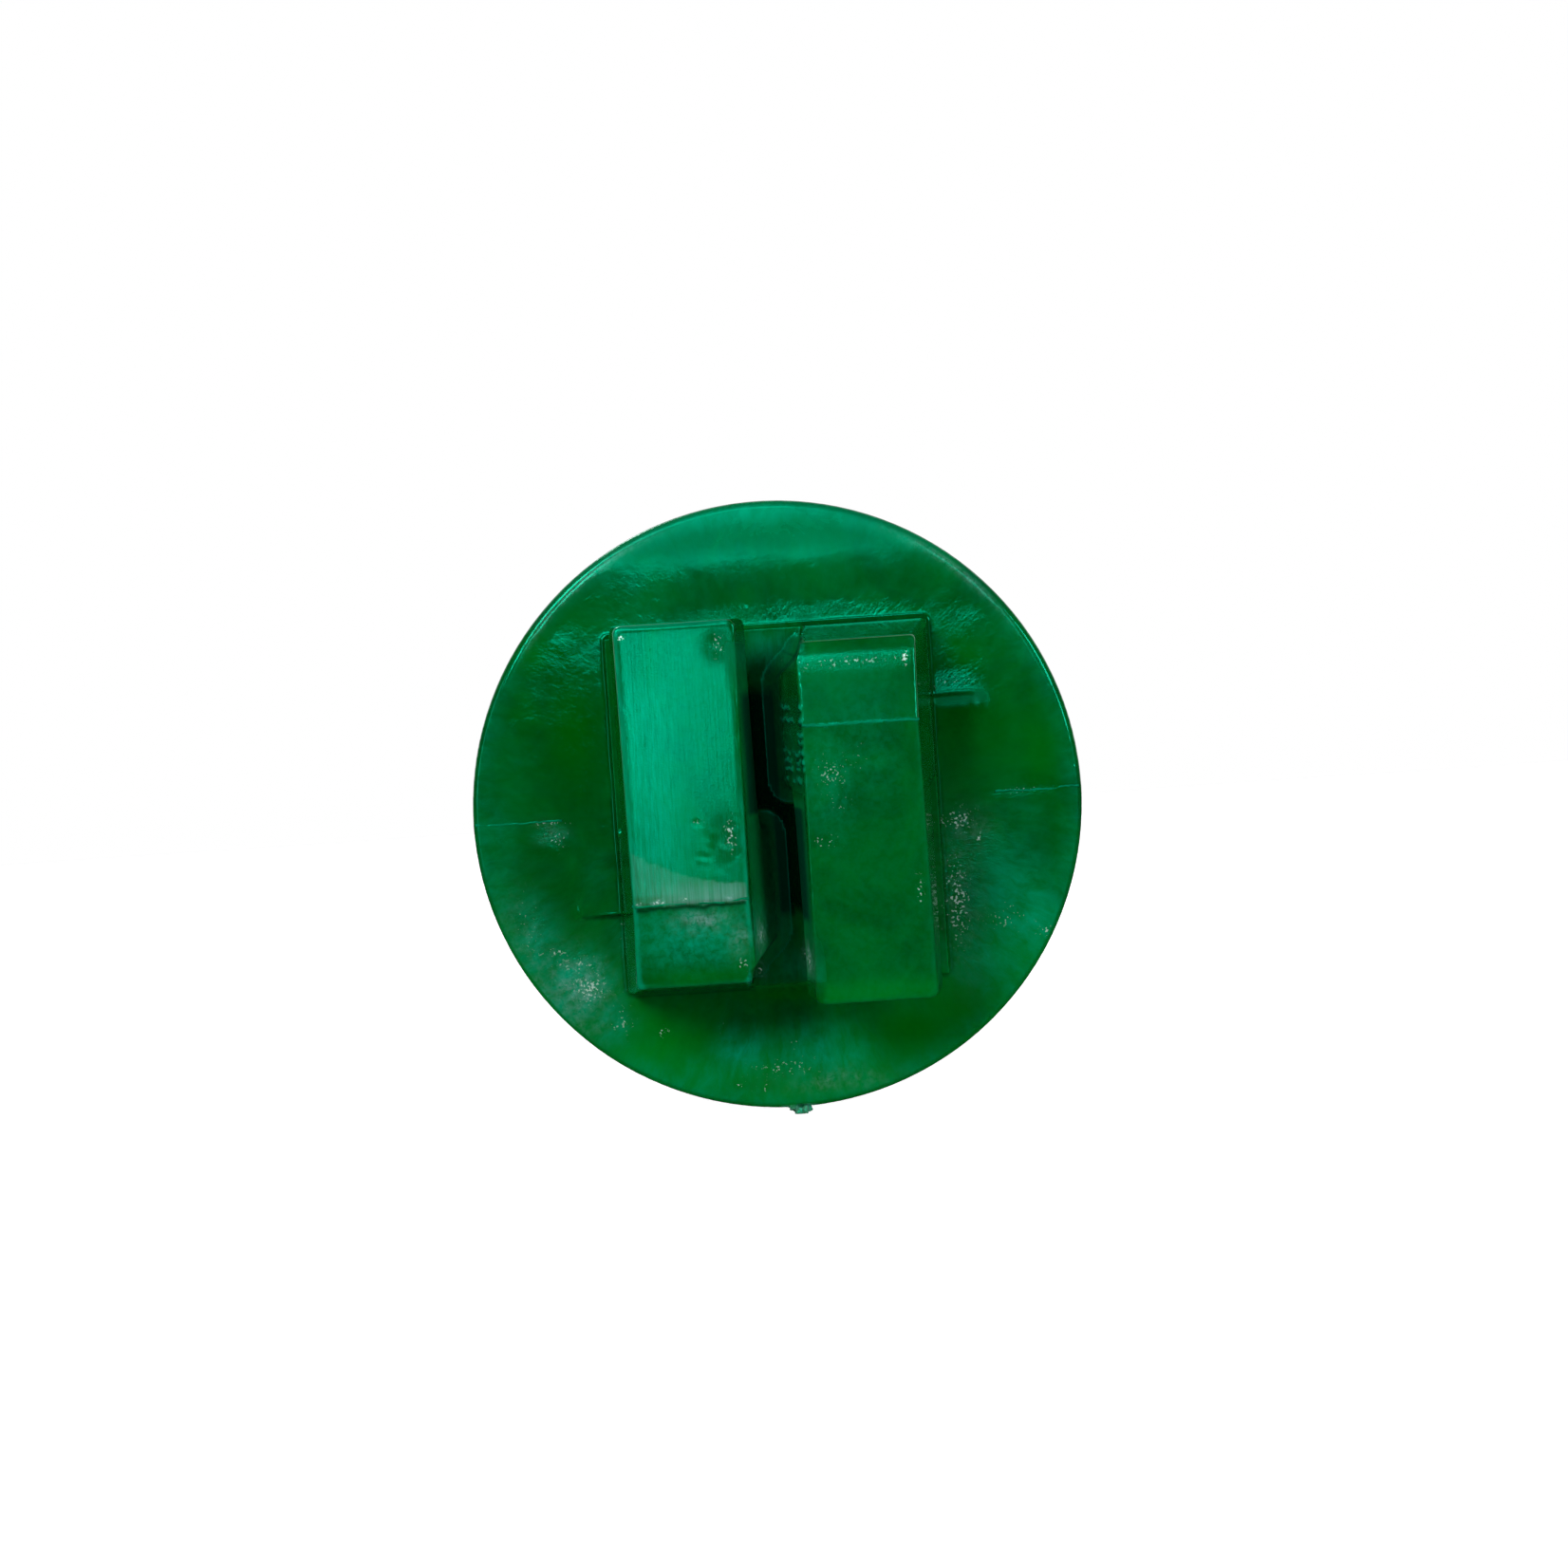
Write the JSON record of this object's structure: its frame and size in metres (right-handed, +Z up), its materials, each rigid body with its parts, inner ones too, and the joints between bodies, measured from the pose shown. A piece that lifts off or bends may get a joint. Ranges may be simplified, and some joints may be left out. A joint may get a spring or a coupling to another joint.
{
  "type": "electric fence insulator",
  "caption": "Round one-piece plastic fence insulator that snaps onto a thin rod post, with a pair of opposed hooked fingers on its face that trap the wire.",
  "frame": {"origin": "on the rod's axis, half-way up the clip", "axes": "+Z up along the rod, +X to the right as seen from the front, and the fingers point to -Y"},
  "size_m": [0.045, 0.0212, 0.0456],
  "materials": {
    "green_plastic": "as moulded, with flow marks, scratches and flash"
  },
  "bodies": {
    "root": {"insulator_body": "green_plastic"}
  },
  "joints": []
}
